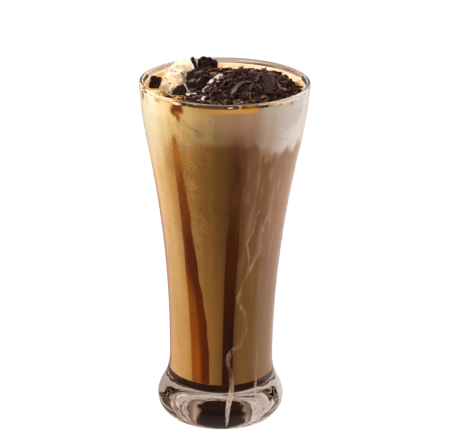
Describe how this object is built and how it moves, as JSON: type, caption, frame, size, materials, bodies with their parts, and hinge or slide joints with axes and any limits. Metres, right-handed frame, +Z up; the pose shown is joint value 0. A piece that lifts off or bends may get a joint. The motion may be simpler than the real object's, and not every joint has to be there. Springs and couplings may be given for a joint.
{
  "type": "iced coffee",
  "caption": "Iced mocha in a tall footed glass that flares to its rim: syrup pool, milk coffee and foam head, topped with cream and a heap of dark chocolate shavings.",
  "frame": {"origin": "centre of the resting ring under the foot", "axes": "+Z up along the glass's axis, -Y towards the front, with the cream at the left (-X) and the shavings at the right (+X)"},
  "size_m": [0.0864, 0.0864, 0.1846],
  "materials": {
    "clear_glass": "clear, polished",
    "chocolate_syrup": "glossy",
    "milk_coffee": "smooth, opaque",
    "milk_foam": "soft, fine bubbles",
    "cream": "soft, satin",
    "dark_chocolate": "satin, flaky"
  },
  "bodies": {
    "root": {"glass": "clear_glass", "syrup_pool": "chocolate_syrup", "milk_coffee": "milk_coffee", "milk_foam": "milk_foam", "cream_dollop": "cream", "chocolate_shavings": "dark_chocolate", "chocolate_scroll": "dark_chocolate", "chocolate_arc_curl": "dark_chocolate", "chocolate_ring_curl": "dark_chocolate", "chocolate_left_plate": "dark_chocolate", "chocolate_front_plate": "dark_chocolate", "chocolate_centre_plate": "dark_chocolate", "chocolate_back_plate": "dark_chocolate", "chocolate_sliver_plate": "dark_chocolate"}
  },
  "joints": []
}
